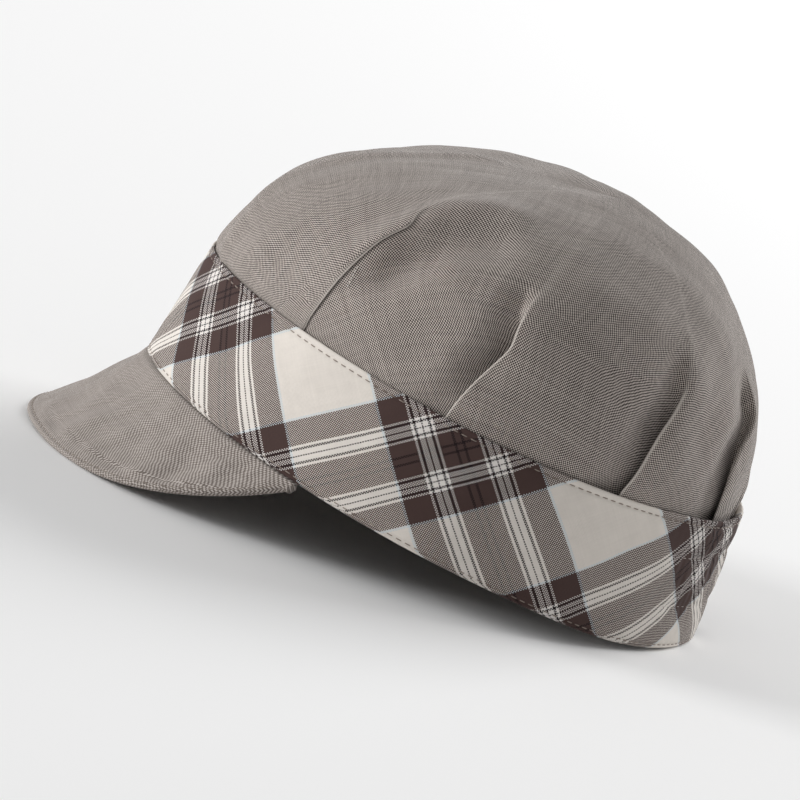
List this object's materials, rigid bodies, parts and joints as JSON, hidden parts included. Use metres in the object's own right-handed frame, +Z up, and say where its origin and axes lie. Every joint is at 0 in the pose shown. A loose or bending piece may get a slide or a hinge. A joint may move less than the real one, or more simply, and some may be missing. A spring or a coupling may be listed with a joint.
{
  "type": "chef cap",
  "caption": "Soft kitchen cap with a full pleated cloth crown, a wide bias-cut check band gathered on elastic at the back, and a short steep peak.",
  "frame": {"origin": "centre of the bounding box in plan, on the surface that the cap stands on", "axes": "+Z up, -Y towards the front of the peak, +X towards the wearer's left; the cap is the same on both sides of the plane X = 0"},
  "size_m": [0.1738, 0.2224, 0.1222],
  "materials": {
    "chambray": "matte yarn-dyed cotton chambray, grey-brown",
    "check": "matte woven cotton check in dark brown, cream and white, cut on the bias",
    "peak_chambray": "matte grey-brown cotton chambray over a soft stiffener, topstitched"
  },
  "bodies": {
    "root": {"crown": "chambray", "band": "check", "peak": "peak_chambray"}
  },
  "joints": []
}
